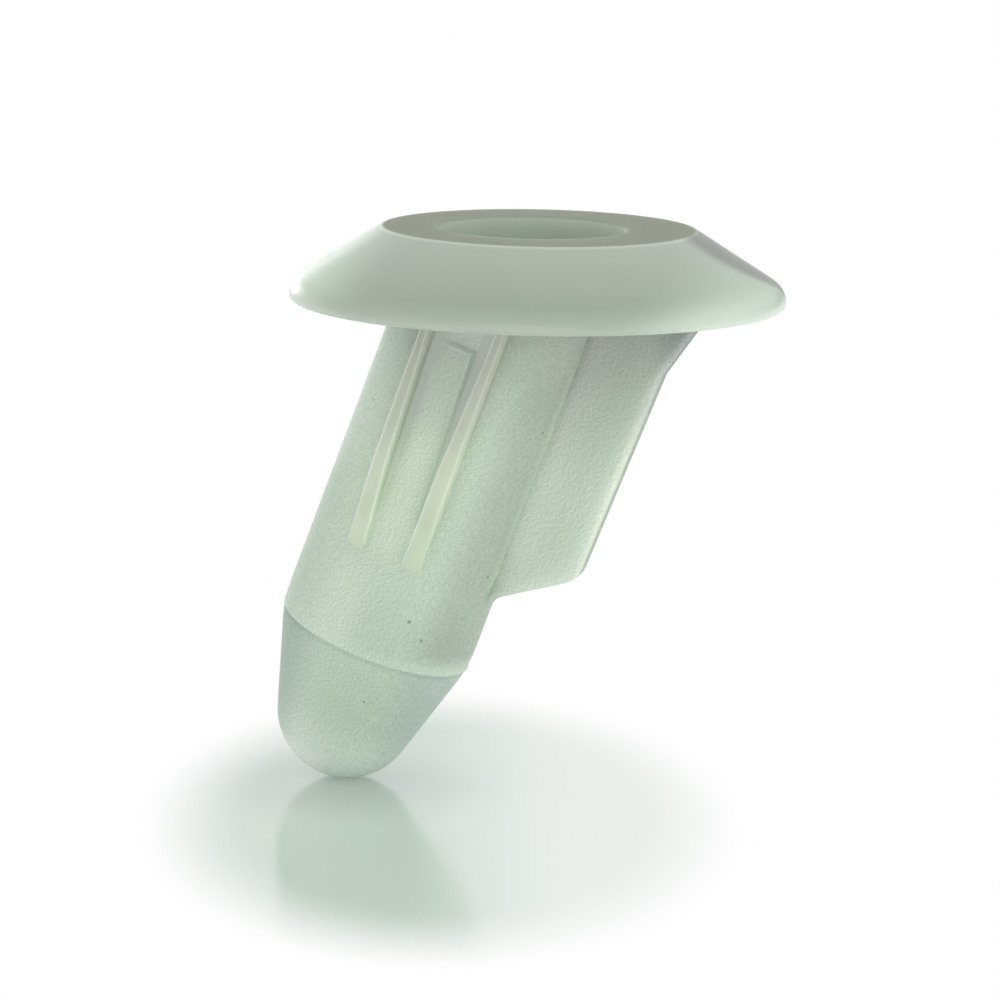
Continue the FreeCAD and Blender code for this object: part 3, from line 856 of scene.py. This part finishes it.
@dataclass(frozen=True)
class FloorFinish:
    """A glossy pale floor that fades into the white background, with a painted shadow under the
    nose and painted light on the patch.

    Attributes:
        centre: The middle of the visible patch.
        reach: Half-lengths of the patch across and away from the camera, in metres.
        turn: The camera's turn about the vertical, in degrees.
        edge: Where the patch starts and ends to fade, as shares of its half-lengths.
        tint: The patch's colour, linear.
        contact: Where the nose stands.
        contact_shadow_tint: Painted shadow: what the patch's colour is multiplied by there.
        contact_shadow_fade: Distances between which that painted shadow fades, in metres.
        roughness: Blur of the reflection.
        mirror_index: Refractive index, which sets the strength of the reflection.
        painted_light_left: Painted light that lifts the patch towards white on the left and in the
            middle.
        painted_light_right: Painted light that lifts it towards white on the right, over the head's
            shadow.
        painted_light_span: Where it changes from one to the other, as shares of its half-length.
    """

    centre: tuple[float, float] = (-0.0021, -0.0048)
    reach: tuple[float, float] = (0.0115, 0.022)
    turn: float = 16.0
    edge: tuple[float, float] = (0.66, 1.1)
    tint: Colour = (0.66, 0.84, 0.69, 1.0)
    contact: tuple[float, float] = (-0.0075, -0.0015)
    contact_shadow_tint: Colour = (0.7, 0.7, 0.74, 1.0)
    contact_shadow_fade: tuple[float, float] = (0.001, 0.008)
    roughness: float = 0.16
    mirror_index: float = 2.0
    painted_light_left: float = 0.16
    painted_light_right: float = 0.56
    painted_light_span: tuple[float, float] = (-0.2, 0.5)

    def material(self) -> bpy.types.Material:
        """Builds the material.

        Returns:
            The floor's material.
        """
        graph = Graph.of_material("pale_floor")
        x, y, _ = graph.coordinates(graph.point())
        east, north = x - self.centre[0], y - self.centre[1]
        turn = math.radians(self.turn)
        across = (east * math.cos(turn) + north * math.sin(turn)) / self.reach[0]
        away = (north * math.cos(turn) - east * math.sin(turn)) / self.reach[1]
        distance = (across * across + away * away) ** 0.5
        # Painted light: the patch is lifted towards white, more on the right than on the left
        painted_light = across.ramp(*self.painted_light_span, self.painted_light_left, self.painted_light_right)
        white_share = painted_light + (1.0 - painted_light) * distance.ramp(*self.edge)
        gap = ((x - self.contact[0]) ** 2 + (y - self.contact[1]) ** 2) ** 0.5
        patch = graph.node("ShaderNodeBsdfPrincipled", inputs={
            # painted shadow where the nose stands
            "Base Color": graph.tinted(self.tint, gap.fall(*self.contact_shadow_fade), self.contact_shadow_tint),
            "Roughness": self.roughness,
            "IOR": self.mirror_index,
        }, output="BSDF")
        white = graph.node("ShaderNodeEmission", inputs={"Color": WHITE, "Strength": 1.0})
        return graph.finish(graph.blended(white_share, patch, white))


@dataclass(frozen=True)
class Lamp:
    """A square soft lamp that faces the part.

    Attributes:
        name: The lamp's name.
        place: Where it hangs, in metres.
        size: Its side, in metres.
        power: Its power in watts.
    """

    name: str
    place: Point
    size: float
    power: float

    def hang(self, target: Vector) -> None:
        """Hangs the lamp.

        Args:
            target: The point that it faces.
        """
        data = bpy.data.lights.new(self.name, "AREA")
        data.shape = "SQUARE"
        data.size = self.size
        data.energy = self.power
        lamp = bpy.data.objects.new(self.name, data)
        bpy.context.scene.collection.objects.link(lamp)
        lamp.location = self.place
        lamp.rotation_mode = "QUATERNION"
        lamp.rotation_quaternion = (target - Vector(self.place)).to_track_quat("-Z", "Y")


@dataclass
class Studio:
    """Floor, background, lamps and camera.

    Attributes:
        floor_height: Height of the floor in the part's frame, in metres.
        floor_reach: The floor's middle to its sides, in metres.
        floor_finish: The floor's material.
        eye: The camera's place.
        target: The point on the camera's axis, which the lamps face too.
        roll: The camera's turn about its own axis, in degrees.
        lens: Focal length in millimetres.
        sensor: Width of the camera's sensor in millimetres.
        clip: Nearest and farthest distance that the camera sees, in metres.
        level_light: The world's strength at the horizon, at the sides and in front.
        top_light: The share of it overhead.
        back_light: The share of it behind.
        back_span: Where it changes behind the part, as a direction's Y.
        mirrored_right: Brightness of what polished faces mirror low on the right.
        right_span: Where that starts, as a direction's X.
        low_span: Where that ends, as a direction's Z.
        lamps: The lamps.
    """

    floor_height: float
    floor_reach: float = 0.6
    floor_finish: FloorFinish = FloorFinish()
    eye: Point = (0.05156, -0.18473, 0.02609)
    target: Point = (-0.001407, 0.0, -0.008223)
    roll: float = 1.149
    lens: float = 172.8
    sensor: float = 36.0
    clip: tuple[float, float] = (0.01, 10.0)
    level_light: float = 1.0
    top_light: float = 0.5
    back_light: float = 0.5
    back_span: tuple[float, float] = (0.1, 1.0)
    mirrored_right: float = 0.15
    right_span: tuple[float, float] = (-0.15, 0.1)
    low_span: tuple[float, float] = (0.12, 0.3)
    lamps: tuple[Lamp, ...] = (
        Lamp("front", (0.1, -0.46, 0.0), 0.3, 0.55),
        Lamp("right", (0.42, -0.12, 0.1), 0.2, 0.2),
        Lamp("back_left", (-0.30, 0.40, -0.005), 0.16, 0.4),
    )

    def place_camera(self) -> None:
        """Sets the camera where the photographer stood."""
        data = bpy.data.cameras.new("camera")
        data.lens = self.lens
        data.sensor_width = self.sensor
        data.clip_start, data.clip_end = self.clip
        camera = bpy.data.objects.new("camera", data)
        bpy.context.scene.collection.objects.link(camera)
        eye = Vector(self.eye)
        aim = (Vector(self.target) - eye).to_track_quat("-Z", "Y").to_matrix().to_4x4()
        turn = Matrix.Rotation(math.radians(self.roll), 4, "Z")
        camera.matrix_world = Matrix.Translation(eye) @ aim @ turn
        bpy.context.scene.camera = camera
        LOG.info("camera with a lens of %s mm", self.lens)

    def lay_floor(self) -> None:
        """Lays the floor under the nose."""
        mesh = bpy.data.meshes.new("floor")
        reach, height = self.floor_reach, self.floor_height
        signs = ((-1, -1), (1, -1), (1, 1), (-1, 1))
        corners = [(east * reach, north * reach, height) for east, north in signs]
        mesh.from_pydata(corners, [], [(0, 1, 2, 3)])
        floor = bpy.data.objects.new("floor", mesh)
        bpy.context.scene.collection.objects.link(floor)
        mesh.materials.append(self.floor_finish.material())
        LOG.info("floor %s mm below the seat", round(-height / MM, 2))

    @staticmethod
    def white_light(graph: Graph, strength: Socket | float) -> Socket:
        """Adds a white background shader of some strength."""
        return graph.node("ShaderNodeBackground", inputs={"Color": WHITE, "Strength": strength})

    def light_world(self) -> None:
        """Sets a plain level light, softer overhead and behind, and a white background."""
        world = bpy.data.worlds.new("studio")
        bpy.context.scene.world = world
        graph = Graph(world)
        direction = graph.node("ShaderNodeTexCoord", output="Generated")
        east, north, height = graph.coordinates(direction)
        overhead = height.ramp(0.0, 1.0, 1.0, self.top_light)
        behind = north.ramp(*self.back_span, 1.0, self.back_light)
        low_right = east.ramp(*self.right_span) * height.fall(*self.low_span)
        lit = self.white_light(graph, overhead * behind * self.level_light)
        mirrored = self.white_light(graph, 1.0 - low_right * (1.0 - self.mirrored_right))
        seen = self.white_light(graph, 1.0)
        glossy_ray = graph.node("ShaderNodeLightPath", output="Is Glossy Ray")
        camera_ray = graph.node("ShaderNodeLightPath", output="Is Camera Ray")
        thrown = graph.blended(glossy_ray, lit, mirrored)
        graph.finish(graph.blended(camera_ray, thrown, seen))
        LOG.info("plain world light and white background")

    def hang_lamps(self) -> None:
        """Hangs the lamps."""
        for lamp in self.lamps:
            lamp.hang(Vector(self.target))
            LOG.info("lamp %s", lamp.name)

    def build(self) -> None:
        """Builds the whole studio."""
        self.place_camera()
        self.lay_floor()
        self.light_world()
        self.hang_lamps()
        bpy.context.scene.view_settings.view_transform = "Standard"


def main() -> None:
    """Builds the scene in order."""
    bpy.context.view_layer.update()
    Grommet().dress(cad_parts["grommet"])
    LOG.info("grommet dressed in nylon")
    low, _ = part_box("grommet")
    Studio(floor_height=low.z).build()


if __name__ == "__main__":
    logging.basicConfig(level=logging.INFO, format="%(name)s: %(message)s")
    main()
